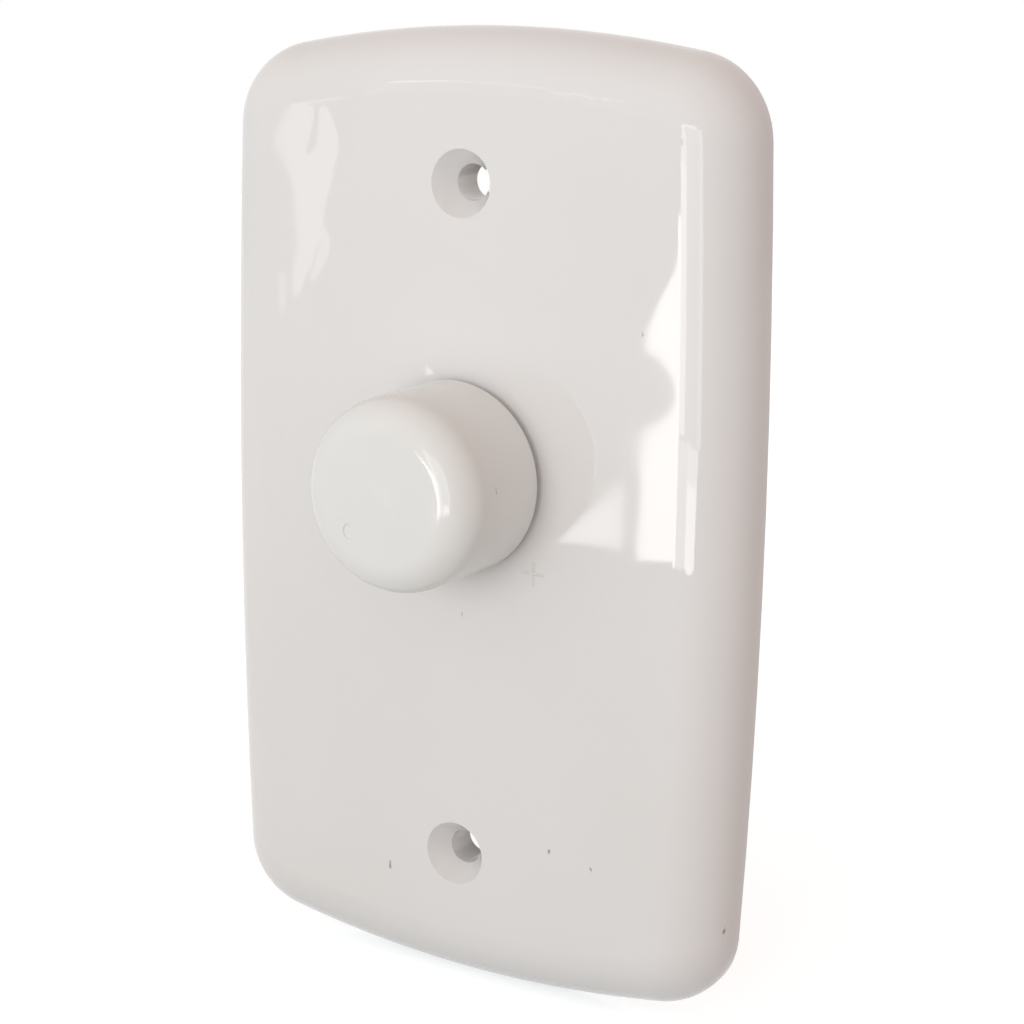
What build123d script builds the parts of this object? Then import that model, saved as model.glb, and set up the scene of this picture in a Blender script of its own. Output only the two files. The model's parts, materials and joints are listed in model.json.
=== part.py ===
from build123d import *
from math import cos, hypot, radians, sin, sqrt
import os

# Rotary dimmer switch on a moulded wall plate, for a two-gang-high flush wall box.
# Sizes are millimetres. X points right, Z up, and the front faces -Y. The wall surface is the
# plane y = 0, and the origin lies on it, midway between the two fixing screws.
# A name that ends in _back or _front is a place along Y; the front end is the more negative one.
# An angle round the knob's axis is counted clockwise from the top, as seen from the front.

# Wall plate: a moulded shell whose four sides bow outwards
plate_width = 73.5
plate_height = 119.6
plate_depth = 8.3
plate_wall = 2.2
side_arc_radius = 1045.0
end_arc_radius = 155.0
corner_radius = 10.4
edge_radius = 7.7

# Fixing screw holes, conical at the front
fixing_spacing = 83.5
fixing_hole_radius = 2.2
fixing_cone_radius = 4.05
fixing_cone_depth = 2.85
fixing_boss_radius = 5.2
fixing_boss_recess = 1.0
fixing_web_length = 4.0
fixing_web_thickness = 1.2
fixing_web_drop = 2.2

# Control knob
knob_height_above_centre = 7.0
knob_radius = 11.75
knob_length = 15.6
knob_gap = 1.3
knob_taper = 0.2
knob_edge_radius = 4.0
knob_crown = 0.3
knob_wall = 1.7
knob_cap = 2.2
knob_hub_radius = 4.9
knob_rib_count = 6
knob_rib_thickness = 1.0
knob_rib_depth = 5.0
knob_slit_width = 1.0
knob_slit_depth = 5.0
knob_bore_clearance = 0.05
index_radius = 0.95
index_depth = 0.15
index_offset = 5.85
travel_angle = 270.0

# Spring ring that grips the knob's slit hub
grip_ring_thickness = 0.5
grip_ring_width = 2.4
grip_ring_gap_angle = 40.0
grip_ring_setback = 1.2
grip_groove_depth = 0.35

# Marks moulded into the plate beside the knob
mark_offset = 15.2
mark_size = 3.0
mark_line = 0.38
mark_depth = 0.25

# Potentiometer
shaft_radius = 3.0
shaft_running_clearance = 0.05
shaft_flat_depth = 1.5
shaft_flat_length = 9.6
shaft_end_clearance = 0.4
clip_thickness = 0.6
clip_radius = 4.1
clip_groove_depth = 0.5
clip_mouth_angle = 70.0
clip_clearance = 0.1
hub_to_clip = 0.4
bushing_radius = 3.5
bushing_hole_clearance = 0.1
bushing_proud = 0.5
nut_across_flats = 10.0
nut_thickness = 2.0
nut_thread_clearance = 0.05
washer_radius = 6.0
washer_thickness = 0.5
flange_radius = 8.9
flange_thickness = 1.2
key_offset = 7.3
key_width = 1.0
key_height = 2.6
key_length = 1.3
key_clearance = 0.15
wafer_radius = 7.9
wafer_thickness = 1.2
wafer_bore_clearance = 0.4
wafer_tongue_width = 13.4
wafer_tongue_reach = 11.6
track_thickness = 0.1
track_inner_radius = 5.2
track_outer_radius = 6.6
collector_inner_radius = 3.9
collector_outer_radius = 4.7
rotor_radius = 6.7
rotor_thickness = 2.0
rotor_lift = 1.1
stop_lug_reach = 7.7
stop_tab_angle = 28.0
stop_tab_depth = 1.1
stop_clearance_angle = 1.0
wiper_sheet = 0.2
wiper_spread_angle = 24.0
wiper_clearance = 0.1
can_thickness = 0.4
can_side_clearance = 0.1
can_end_clearance = 0.5
can_tab_width = 2.5
can_tab_angles = (55.0, 125.0, 235.0, 305.0)
can_tab_clearance = 0.1
lug_thickness = 0.5
lug_width = 1.1
lug_pitch = 5.0
lug_top = 9.0
lug_drop = 12.3
lug_rivet_radius = 0.8
lug_rivet_height = 0.3

# Circuit board
board_gap = 2.5
board_thickness = 1.6
board_edge_clearance = 0.3
lead_hole_clearance = 0.15
lead_stub = 0.9

# Rear cover and the screws that hold it
cover_width = 44.0
cover_height = 66.0
cover_depth = 21.0
cover_wall = 2.0
cover_corner_radius = 4.0
cover_edge_radius = 1.6
cover_rib_height = 1.6
cover_rib_thickness = 1.2
cover_rib_clearance = 0.2
vent_count = 7
vent_width = 1.6
vent_height = 20.0
vent_pitch = 4.0
vent_centre_height = 9.0
side_vent_count = 5
side_vent_length = 9.0
side_vent_back = 16.5
post_inset = 6.0
post_radius = 4.2
pillar_radius = 3.2
pillar_pilot_radius = 1.25
pillar_floor = 2.1
screw_core_radius = 1.2
screw_head_radius = 2.8
screw_head_height = 1.8
screw_length = 15.0
screw_tip = 1.6
screw_seat_depth = 9.0
screw_hole_radius = 1.6
screw_counterbore_clearance = 0.4
drive_slot_width = 0.8
drive_slot_length = 3.2
drive_slot_depth = 0.9

# Terminal block for the two wires
pole_pitch = 6.35
block_side_wall = 0.72
block_entry_wall = 2.2
block_height = 10.5
block_length = 9.0
block_floor = 1.1
block_gap = 0.6
block_bevel = 1.2
wire_bore_radius = 1.7
wire_bore_height = 4.1
cage_width = 5.0
cage_length = 5.2
cage_wall = 0.7
cage_roof = 1.2
cage_height = 6.2
cage_clearance = 0.1
clamp_screw_radius = 1.4
clamp_head_radius = 1.9
clamp_head_height = 1.5
clamp_head_recess = 0.3
clamp_hole_clearance = 0.2
pole_pin_radius = 0.5
entry_window_width = 12.6
entry_window_height = 6.0
driver_hole_radius = 2.5

# Triac and its heat sink
sink_width = 17.8
sink_length = 19.0
sink_thickness = 1.5
sink_fin_height = 9.0
sink_lift = 2.9
sink_above_block = 2.9
sink_foot_width = 2.4
sink_foot_spacing = 14.0
sink_bend_radius = 1.0
triac_width = 10.0
triac_body_length = 9.2
triac_height = 4.5
triac_bevel = 0.7
triac_from_fin = 9.6
triac_below_sink_top = 1.1
tab_length = 15.2
tab_thickness = 1.3
tab_hole_radius = 1.85
tab_hole_to_end = 2.8
leg_pitch = 2.54
leg_width = 0.8
leg_thickness = 0.5
leg_reach = 4.0
leg_height = 2.6
sink_screw_radius = 1.45
sink_screw_head_radius = 2.75
sink_screw_head_height = 2.0
sink_screw_end = 0.4
sink_hole_clearance = 0.15
sink_nut_across_flats = 5.5
sink_nut_thickness = 2.4

# Choke: a ring core wound with enamelled wire
core_outer_radius = 8.2
core_inner_radius = 4.3
core_height = 7.0
core_edge = 0.6
choke_inset = 15.5
winding_turns = 24
winding_gap_angle = 36.0
winding_wire = 0.8
winding_clearance = 0.05
winding_lift = 0.1
winding_lead_radius = 0.4

# Small components, all soldered to the board. The tall ones stand near the cover's side walls
side_wall_gap = 1.4
suppressor_size = (6.0, 18.0, 12.0)
suppressor_below_sink_centre = 1.5
suppressor_lead_pitch = 15.0
timing_size = (3.6, 7.4, 8.0)
timing_wall_gap = 2.7
timing_z = 9.5
timing_lead_pitch = 5.0
box_edge = 0.5
box_lift = 0.1
resistors_beside_diac = (3.2, 7.0)
resistor_radius = 1.25
resistor_waist_radius = 1.0
resistor_length = 6.5
resistor_end_length = 1.5
diac_beside_suppressor = 2.0
axial_below_sink_centre = 4.0
diac_radius = 0.95
diac_length = 3.8
fuse_wall_gap = 2.85
fuse_z = 11.0
fuse_radius = 1.8
fuse_length = 10.0
fuse_cap_radius = 1.95
fuse_cap_length = 2.2
axial_span = 10.0
fuse_span = 15.0
axial_lift = 0.2
axial_lead_radius = 0.3
axial_bend_radius = 0.8

# Places that follow from the sizes above
plate_front = -plate_depth
plate_inside = -(plate_depth - plate_wall)
knob_z = knob_height_above_centre
knob_back = plate_front - knob_gap
knob_front = knob_back - knob_length
board_front = board_gap
board_back = board_front + board_thickness
flange_back = plate_inside + flange_thickness
wafer_back = flange_back + wafer_thickness
rotor_front = wafer_back + rotor_lift
rotor_back = rotor_front + rotor_thickness
washer_front = plate_front - washer_thickness
nut_front = washer_front - nut_thickness
bushing_front = nut_front - bushing_proud
clip_back = bushing_front - clip_clearance
clip_front = clip_back - clip_thickness
hub_back = clip_front - hub_to_clip
knob_inside = knob_front + knob_cap
shaft_front = knob_inside + shaft_end_clearance
rest_angle = 360.0 - travel_angle / 2
can_radius = wafer_radius + can_side_clearance
cover_inside = cover_depth - cover_wall
cover_inner_x = cover_width / 2 - cover_wall
screw_seat = cover_depth - screw_seat_depth
block_back = board_back + block_height
block_foot_z = -(cover_height / 2 - cover_wall - block_gap)
sink_front = board_back + sink_lift
sink_back = sink_front + sink_thickness
sink_left = cover_inner_x - side_wall_gap
sink_centre_z = block_foot_z + block_length + sink_above_block + sink_length / 2
triac_x = triac_from_fin - sink_left
triac_top_z = sink_centre_z + sink_length / 2 - triac_below_sink_top
choke_z = cover_height / 2 - choke_inset
suppressor_x = cover_inner_x - side_wall_gap - suppressor_size[0] / 2
suppressor_place = (suppressor_x, sink_centre_z - suppressor_below_sink_centre)
timing_place = (cover_inner_x - timing_wall_gap - timing_size[0] / 2, timing_z)
axial_z = sink_centre_z - axial_below_sink_centre
diac_x = suppressor_x - suppressor_size[0] / 2 - diac_beside_suppressor
diac_place = (diac_x, axial_z)
resistor_places = tuple((diac_x - step, axial_z) for step in resistors_beside_diac)
fuse_place = (fuse_wall_gap + fuse_cap_radius - cover_inner_x, fuse_z)
post_x = cover_width / 2 - post_inset
post_z = cover_height / 2 - post_inset
post_places = [(sx * post_x, sz * post_z) for sx in (-1, 1) for sz in (-1, 1)]
pole_places = [(side * pole_pitch / 2, block_foot_z) for side in (-1, 1)]
fixing_places = [(0.0, side * fixing_spacing / 2) for side in (-1, 1)]
fixing_boss_back = -fixing_boss_recess
lug_places = [(step * lug_pitch, knob_z) for step in (-1, 0, 1)]
leg_places = [triac_x + step * leg_pitch for step in (-1, 0, 1)]
sink_foot_places = [sink_centre_z + side * sink_foot_spacing / 2 for side in (-1, 1)]

LOW = (Align.CENTER, Align.CENTER, Align.MIN)


def facing(y):
    """The plane at this depth, whose local x is X, local y is Z, and normal points to the front."""
    return Plane(origin=(0, y, 0), x_dir=(1, 0, 0), z_dir=(0, -1, 0))


def prism(outline, back, front):
    return extrude(facing(back) * outline, amount=back - front)


def rod(place, radius, back, front):
    return prism(Pos(*place) * Circle(radius), back, front)


def block(place, width, height, back, front):
    return prism(Pos(*place) * Rectangle(width, height), back, front)


def cone(place, back_radius, front_radius, back, front):
    body = Cone(back_radius, front_radius, back - front, align=LOW)
    return facing(back) * Pos(place[0], place[1], 0) * body


def tube(place, outer, inner, back, front):
    return prism(Pos(*place) * (Circle(outer) - Circle(inner)), back, front)


def sector(inner, outer, start, end):
    """A flat ring segment between two clockwise angles, about the local origin."""

    def at(radius, angle):
        return radius * sin(radians(angle)), radius * cos(radians(angle))

    middle = (start + end) / 2
    edges = [
        ThreePointArc(at(outer, start), at(outer, middle), at(outer, end)),
        Line(at(outer, end), at(inner, end)),
        ThreePointArc(at(inner, end), at(inner, middle), at(inner, start)),
        Line(at(inner, start), at(outer, start)),
    ]
    return make_face(edges)


def on_axis(shape):
    """Moves a shape made about x = z = 0 to the knob's axis."""
    return Pos(0, 0, knob_z) * shape


def at_rest(shape):
    """Moves a turning piece, made with its pointer upwards, to the knob's axis and lowest setting."""
    return Pos(0, 0, knob_z) * Rot(0, rest_angle, 0) * shape


def hexagon(across_flats):
    return RegularPolygon(radius=across_flats / 2, side_count=6, major_radius=False)


def front_edges(solid):
    return solid.edges().group_by(Axis.Y)[0]


def back_edges(solid):
    return solid.edges().group_by(Axis.Y)[-1]


def pan_screw(place, seat, length, core, head, height, tip, slot_length):
    """A slotted screw that is driven from the back: its head lies behind the seat."""
    shank_end = seat - length
    screw = rod(place, core, seat, shank_end + tip)
    if tip > 0:
        screw += cone(place, core, core / 4, shank_end + tip, shank_end)
    top = rod(place, head, seat + height, seat)
    top = fillet(back_edges(top), height * 0.45)
    screw += top
    slot_floor = seat + height - drive_slot_depth
    return screw - block(place, slot_length, drive_slot_width, seat + height, slot_floor)


# Wall plate


def plate_outline(inset):
    """The plate's bowed outline, moved inwards by inset. Its arcs keep their centres."""
    side_centre = Vector(plate_width / 2 - side_arc_radius, 0)
    end_centre = Vector(0, plate_height / 2 - end_arc_radius)
    side_reach = side_arc_radius - corner_radius
    end_reach = end_arc_radius - corner_radius
    between = end_centre - side_centre
    gap = between.length
    along = (side_reach**2 - end_reach**2 + gap**2) / (2 * gap)
    across = sqrt(side_reach**2 - along**2)
    unit = between.normalized()
    corner = side_centre + unit * along + Vector(-unit.Y, unit.X) * across

    to_side = (corner - side_centre).normalized()
    to_end = (corner - end_centre).normalized()
    to_middle = (to_side + to_end).normalized()
    radius = corner_radius - inset
    side_point = corner + to_side * radius
    end_point = corner + to_end * radius
    middle_point = corner + to_middle * radius

    def turned(point, sx, sz):
        return sx * point.X, sz * point.Y

    half_width = plate_width / 2 - inset
    half_height = plate_height / 2 - inset
    edges = []
    for sx, sz in ((1, 1), (-1, 1), (-1, -1), (1, -1)):
        a, b, c = (turned(p, sx, sz) for p in (side_point, middle_point, end_point))
        edges.append(ThreePointArc(a, b, c))
    for s in (-1, 1):
        edges.append(
            ThreePointArc(turned(side_point, s, -1), (s * half_width, 0), turned(side_point, s, 1))
        )
        edges.append(
            ThreePointArc(turned(end_point, -1, s), (0, s * half_height), turned(end_point, 1, s))
        )
    return make_face(edges)


def plate_form(inset, depth):
    """A solid of the plate's outline with its front edge rounded over."""
    solid = prism(plate_outline(inset), 0, -depth)
    return fillet(front_edges(solid), edge_radius - inset)


def fixing_boss(place):
    """The post round a fixing screw, with two short webs that stiffen it."""
    boss = rod(place, fixing_boss_radius, fixing_boss_back, plate_inside)
    webs = block(
        place,
        2 * (fixing_boss_radius + fixing_web_length),
        fixing_web_thickness,
        fixing_boss_back - fixing_web_drop,
        plate_inside,
    )
    return boss + webs


def fixing_hole(place):
    """A straight hole that opens into a cone at the plate's front."""
    cone_back = plate_front + fixing_cone_depth
    hole = rod(place, fixing_hole_radius, fixing_boss_back, cone_back)
    return hole + cone(place, fixing_hole_radius, fixing_cone_radius, cone_back, plate_front)


def mark_place(angle):
    turn = radians(angle)
    return mark_offset * sin(turn), knob_z + mark_offset * cos(turn)


def setting_marks():
    """Plus and minus signs sunk into the front, in line with the two ends of the knob's travel."""
    more, less = mark_place(travel_angle / 2), mark_place(-travel_angle / 2)
    bottom = plate_front + mark_depth
    marks = block(more, mark_size, mark_line, bottom, plate_front)
    marks += block(more, mark_line, mark_size, bottom, plate_front)
    return marks + block(less, mark_size, mark_line, bottom, plate_front)


def front_plate():
    plate = plate_form(0, plate_depth) - plate_form(plate_wall, plate_depth - plate_wall)
    for place in fixing_places:
        plate += fixing_boss(place)
    for place in post_places:
        plate += rod(place, pillar_radius, board_front, plate_inside)
    rib = cover_rib_clearance
    outer = rib + cover_rib_thickness
    ring = cover_outline(outer) - cover_outline(rib)
    plate += prism(ring, plate_inside + cover_rib_height, plate_inside)
    for place in fixing_places:
        plate -= fixing_hole(place)
    for place in post_places:
        plate -= rod(place, pillar_pilot_radius, board_front, plate_inside + pillar_floor)
    bushing_hole = bushing_radius + bushing_hole_clearance
    plate -= rod((0, knob_z), bushing_hole, plate_inside, plate_front)
    slack = 2 * key_clearance
    plate -= block(
        (-key_offset, knob_z),
        key_width + slack,
        key_height + slack,
        plate_inside,
        plate_inside - key_length - key_clearance,
    )
    return plate - setting_marks()


# Rear cover


def cover_outline(outset):
    return RectangleRounded(
        cover_width + 2 * outset, cover_height + 2 * outset, cover_corner_radius + outset
    )


def rear_cover():
    cover = prism(cover_outline(0), cover_depth, plate_inside)
    cover = fillet(back_edges(cover), cover_edge_radius)
    cover -= prism(cover_outline(-cover_wall), cover_inside, plate_inside)
    well = screw_head_radius + screw_counterbore_clearance
    for place in post_places:
        cover += rod(place, post_radius, cover_inside, board_back) & prism(
            cover_outline(-cover_wall / 2), cover_inside, board_back
        )
        cover -= rod(place, well, cover_depth, screw_seat)
        cover -= rod(place, screw_hole_radius, screw_seat, board_back)
    cover -= vent_slots()
    window_centre = board_back + wire_bore_height
    cover -= block(
        (0, -(cover_height - cover_wall) / 2),
        entry_window_width,
        2 * cover_wall,
        window_centre + entry_window_height / 2,
        window_centre - entry_window_height / 2,
    )
    for x, z in pole_places:
        cover -= rod((x, z + pole_centre_depth()), driver_hole_radius, cover_depth, cover_inside)
    return cover


def vent_slots():
    """Upright slots through the rear wall, and short ones through both side walls."""
    slots = []
    for step in range(vent_count):
        x = (step - (vent_count - 1) / 2) * vent_pitch
        outline = Rot(0, 0, 90) * SlotOverall(vent_height, vent_width)
        slots.append(prism(Pos(x, vent_centre_height) * outline, cover_depth, cover_inside))
    for step in range(side_vent_count):
        z = vent_centre_height + (step - (side_vent_count - 1) / 2) * vent_pitch
        for side in (-1, 1):
            slots.append(
                block(
                    (side * (cover_width - cover_wall) / 2, z),
                    2 * cover_wall,
                    vent_width,
                    side_vent_back,
                    side_vent_back - side_vent_length,
                )
            )
    return slots


def pole_centre_depth():
    """How far a terminal's centre lies above the block's wire face."""
    return block_entry_wall + cage_clearance + cage_length / 2


def cover_screws():
    return [
        pan_screw(
            place,
            screw_seat,
            screw_length,
            screw_core_radius,
            screw_head_radius,
            screw_head_height,
            screw_tip,
            drive_slot_length,
        )
        for place in post_places
    ]


# Control knob


def knob_profile(inset, back, front_inset):
    """Half section of the knob's outer form, moved inwards, as radius against distance forward."""
    root = knob_radius - inset
    tip = knob_radius - knob_taper - inset
    front = knob_front + front_inset
    rim = front + knob_crown
    crown_radius = (tip**2 + knob_crown**2) / (2 * knob_crown)
    halfway = front + crown_radius - sqrt(crown_radius**2 - tip**2 / 4)
    return make_face(
        [
            Line((0, back), (root, back)),
            Line((root, back), (tip, rim)),
            ThreePointArc((tip, rim), (tip / 2, halfway), (0, front)),
            Line((0, front), (0, back)),
        ]
    )


def knob_form(inset, back, front_inset, edge):
    solid = revolve(Plane.XY * knob_profile(inset, back, front_inset), Axis.Y)
    rims = solid.edges().filter_by(lambda line: line.is_closed)
    return fillet(rims.sort_by(Axis.Y)[0], edge)


def hub_bore():
    """The D-shaped socket for the shaft."""
    radius = shaft_radius + knob_bore_clearance
    flat = shaft_radius - shaft_flat_depth + knob_bore_clearance
    outline = Circle(radius) - Pos(0, flat + radius) * Rectangle(2 * radius, 2 * radius)
    bore = prism(outline, shaft_front + shaft_flat_length, knob_inside)
    return bore + rod((0, 0), radius, hub_back, shaft_front + shaft_flat_length)


def control_knob():
    knob = knob_form(0, knob_back, 0, knob_edge_radius)
    knob -= knob_form(knob_wall, knob_back, knob_cap, knob_edge_radius - knob_wall)
    knob += rod((0, 0), knob_hub_radius, hub_back, knob_inside - knob_crown)
    rib_length = knob_radius - knob_wall / 2
    for step in range(knob_rib_count):
        rib = block(
            (0, rib_length / 2),
            knob_rib_thickness,
            rib_length,
            knob_inside + knob_rib_depth,
            knob_inside - knob_crown,
        )
        knob += Rot(0, (step + 0.5) * 360 / knob_rib_count, 0) * rib
    knob -= hub_bore()
    groove_back = hub_back - grip_ring_setback
    knob -= tube(
        (0, 0),
        knob_hub_radius + 1,
        knob_hub_radius - grip_groove_depth,
        groove_back,
        groove_back - grip_ring_width,
    )
    slit_length = 2 * (knob_hub_radius + 1)
    slit = block((0, 0), slit_length, knob_slit_width, hub_back, hub_back - knob_slit_depth)
    knob -= slit
    index_bottom = knob_front + knob_crown / 4 + index_depth
    knob -= rod((0, index_offset), index_radius, index_bottom, knob_front)
    return at_rest(knob)


def knob_grip_ring():
    inner = knob_hub_radius - grip_groove_depth
    back = hub_back - grip_ring_setback
    half_gap = grip_ring_gap_angle / 2
    ring = sector(inner, inner + grip_ring_thickness, 90 + half_gap, 450 - half_gap)
    return at_rest(prism(ring, back, back - grip_ring_width))


# Potentiometer


def pot_shaft():
    shaft = rod((0, 0), shaft_radius, rotor_back, shaft_front)
    shaft = chamfer(front_edges(shaft), shaft_end_clearance)
    flat = shaft_radius - shaft_flat_depth
    shaft -= block(
        (0, flat + shaft_radius),
        2 * shaft_radius,
        2 * shaft_radius,
        shaft_front + shaft_flat_length,
        shaft_front,
    )
    shaft -= tube((0, 0), shaft_radius + 1, shaft_radius - clip_groove_depth, clip_back, clip_front)
    return at_rest(shaft)


def shaft_clip():
    half_mouth = clip_mouth_angle / 2
    inner = shaft_radius - clip_groove_depth
    ring = sector(inner, clip_radius, 180 + half_mouth, 540 - half_mouth)
    return at_rest(prism(ring, clip_back, clip_front))


def pot_bushing():
    """A die-cast flange with the threaded bushing and the key that stops it from turning."""
    flange = rod((0, 0), flange_radius, flange_back, plate_inside)
    outer = can_radius + can_thickness + can_tab_clearance
    for angle in can_tab_angles:
        notch = block(
            (0, outer),
            can_tab_width + 2 * can_tab_clearance,
            2 * (outer - can_radius + can_tab_clearance),
            flange_back,
            plate_inside,
        )
        flange -= Rot(0, angle, 0) * notch
    flange += rod((0, 0), bushing_radius, plate_inside, bushing_front)
    flange += block((-key_offset, 0), key_width, key_height, plate_inside, plate_inside - key_length)
    bore = rod((0, 0), shaft_radius + shaft_running_clearance, flange_back, bushing_front)
    return on_axis(flange - bore)


def pot_washer():
    hole = bushing_radius + bushing_hole_clearance
    return tube((0, knob_z), washer_radius, hole, plate_front, washer_front)


def pot_nut():
    nut = prism(hexagon(nut_across_flats), washer_front, nut_front)
    corner = nut_across_flats / sqrt(3)
    dome = cone((0, 0), corner + nut_thickness, corner - 0.6, washer_front, nut_front)
    bore = rod((0, 0), bushing_radius + nut_thread_clearance, washer_front, nut_front)
    return on_axis((nut & dome) - bore)


def pot_wafer():
    """The laminate disc under the track, with the tongue that carries the three lugs."""
    tongue = Pos(0, -wafer_tongue_reach / 2) * Rectangle(wafer_tongue_width, wafer_tongue_reach)
    outline = Circle(wafer_radius) + tongue
    outline -= Circle(shaft_radius + wafer_bore_clearance)
    return on_axis(prism(outline, wafer_back, flange_back))


def resistive_track():
    half = travel_angle / 2 + stop_clearance_angle
    ring = sector(track_inner_radius, track_outer_radius, -half, half)
    return on_axis(prism(ring, wafer_back + track_thickness, wafer_back))


def collector_ring():
    return tube(
        (0, knob_z),
        collector_outer_radius,
        collector_inner_radius,
        wafer_back + track_thickness,
        wafer_back,
    )


def pot_rotor():
    """The moulded disc on the shaft, with the lug that meets the can's stop at both ends."""
    disc = tube((0, 0), rotor_radius, shaft_radius, rotor_back, rotor_front)
    half_lug = (360 - travel_angle - stop_tab_angle) / 2 - stop_clearance_angle
    root = (shaft_radius + rotor_radius) / 2
    lug = prism(sector(root, stop_lug_reach, -half_lug, half_lug), rotor_back, rotor_front)
    return at_rest(disc + lug)


def pot_wiper():
    """A thin sprung sheet with two fingers, one on the track and one on the collector ring."""
    half = wiper_spread_angle
    front = rotor_front - wiper_sheet
    wiper = prism(sector(collector_inner_radius, track_outer_radius, -half, half), rotor_front, front)
    tip = wafer_back + track_thickness + wiper_clearance
    for inner, outer in (
        (track_inner_radius, track_outer_radius),
        (collector_inner_radius, collector_outer_radius),
    ):
        inset = (outer - inner) / 5
        finger = sector(inner + inset, outer - inset, -wiper_spread_angle / 4, wiper_spread_angle / 4)
        wiper += prism(finger, front, tip)
    return at_rest(wiper)


def pot_can():
    """The drawn cover over the track, with its stop tab, a notch for the lugs and four tabs."""
    inside = rotor_back + can_end_clearance
    outer = can_radius + can_thickness
    can = rod((0, 0), outer, inside + can_thickness, flange_back)
    can = fillet(back_edges(can), can_thickness)
    can -= rod((0, 0), can_radius, inside, flange_back)
    half_tab = stop_tab_angle / 2
    root = can_radius + can_thickness / 2
    tab = sector(can_radius - stop_tab_depth, root, 180 - half_tab, 180 + half_tab)
    can += prism(tab, inside, rotor_front)
    mouth = wafer_tongue_width + 2 * can_tab_clearance
    reach = wafer_tongue_reach
    can -= block((0, -reach / 2), mouth, reach, wafer_back + can_tab_clearance, flange_back)
    for angle in can_tab_angles:
        fold = block((0, root), can_tab_width, can_thickness, flange_back, plate_inside)
        can += Rot(0, angle, 0) * fold
    return on_axis(can)


def pot_lugs():
    """Three brass lugs riveted to the wafer's tongue and bent back through the board."""
    lugs = []
    back = wafer_back + lug_thickness
    for x, z in lug_places:
        centre_z = z - (lug_top + lug_drop) / 2
        strip = block((x, centre_z), lug_width, lug_drop - lug_top, back, wafer_back)
        pin_z = z - lug_drop + lug_thickness / 2
        pin = block((x, pin_z), lug_width, lug_thickness, board_back + lead_stub, wafer_back)
        rivet_z = z - (lug_top + wafer_tongue_reach) / 2
        rivet = rod((x, rivet_z), lug_rivet_radius, back + lug_rivet_height, back)
        lugs.append(strip + pin + rivet)
    return lugs


# Circuit board


def lead_places():
    """Where each round lead passes through the board, with its radius."""
    places = []
    for x, z in resistor_places + (diac_place,):
        places += [(x, z + side * axial_span / 2, axial_lead_radius) for side in (-1, 1)]
    x, z = fuse_place
    places += [(x, z + side * fuse_span / 2, axial_lead_radius) for side in (-1, 1)]
    for (x, z), pitch in (
        (suppressor_place, suppressor_lead_pitch),
        (timing_place, timing_lead_pitch),
    ):
        places += [(x, z + side * pitch / 2, axial_lead_radius) for side in (-1, 1)]
    places += [(x, z, winding_lead_radius) for x, z in choke_lead_places()]
    places += [(x, z + pole_centre_depth(), pole_pin_radius) for x, z in pole_places]
    return places


def circuit_board():
    slack = 2 * (cover_wall + board_edge_clearance)
    outline = RectangleRounded(cover_width - slack, cover_height - slack, cover_corner_radius - cover_wall)
    for place in post_places:
        outline -= Pos(*place) * Circle(screw_hole_radius)
    for x, z, radius in lead_places():
        outline -= Pos(x, z) * Circle(radius + lead_hole_clearance)
    pin_hole = hypot(lug_width, lug_thickness) / 2 + lead_hole_clearance
    for x, z in lug_places:
        outline -= Pos(x, z - lug_drop + lug_thickness / 2) * Circle(pin_hole)
    leg_hole = hypot(leg_width, leg_thickness) / 2 + lead_hole_clearance
    for x in leg_places:
        outline -= Pos(x, leg_drop_z()) * Circle(leg_hole)
    return prism(outline, board_back, board_front)


# Terminal block


def terminal_block():
    width = pole_pitch + cage_width + 2 * (cage_clearance + block_side_wall)
    centre_z = block_foot_z + block_length / 2
    body = block((0, centre_z), width, block_length, block_back, board_back)
    body = chamfer(back_edges(body).sort_by(Axis.Z)[0], block_bevel)
    room = cage_clearance
    cavity_front = board_back + block_floor
    cavity_back = cavity_front + cage_height + 2 * room
    for x, z in pole_places:
        place = (x, z + pole_centre_depth())
        body -= block(place, cage_width + 2 * room, cage_length + 2 * room, cavity_back, cavity_front)
        body -= rod(place, clamp_head_radius + clamp_hole_clearance, block_back, cavity_back)
        body -= rod(place, pole_pin_radius + room, cavity_front, board_back)
        wire = Cylinder(wire_bore_radius, block_entry_wall + room, align=LOW)
        body -= Pos(x, board_back + wire_bore_height, z) * wire
    return body


def terminal_cages():
    """Brass clamps round each wire's way in, with the pin that is soldered to the board."""
    cages = []
    front = board_back + block_floor + cage_clearance
    back = front + cage_height
    for x, z in pole_places:
        place = (x, z + pole_centre_depth())
        cage = block(place, cage_width, cage_length, back, front)
        inner = cage_width - 2 * cage_wall
        cage -= block(place, inner, cage_length, back - cage_roof, front + cage_wall)
        cage -= rod(place, clamp_screw_radius + nut_thread_clearance, back, back - cage_roof)
        cages.append(cage + rod(place, pole_pin_radius, front, board_front - lead_stub))
    return cages


def terminal_screws():
    seat = block_back - clamp_head_recess - clamp_head_height
    roof = board_back + block_floor + cage_clearance + cage_height - cage_roof
    screws = []
    for x, z in pole_places:
        place = (x, z + pole_centre_depth())
        screws.append(
            pan_screw(
                place,
                seat,
                seat - roof,
                clamp_screw_radius,
                clamp_head_radius,
                clamp_head_height,
                0,
                2 * clamp_head_radius,
            )
        )
    return screws


# Triac and heat sink


def leg_drop_z():
    return triac_top_z + leg_reach


def upright_edge(solid, x, y):
    """The edge along Z that passes nearest to this x and y."""
    return solid.edges().filter_by(Axis.Z).sort_by_distance((x, y, sink_centre_z))[0]


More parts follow.
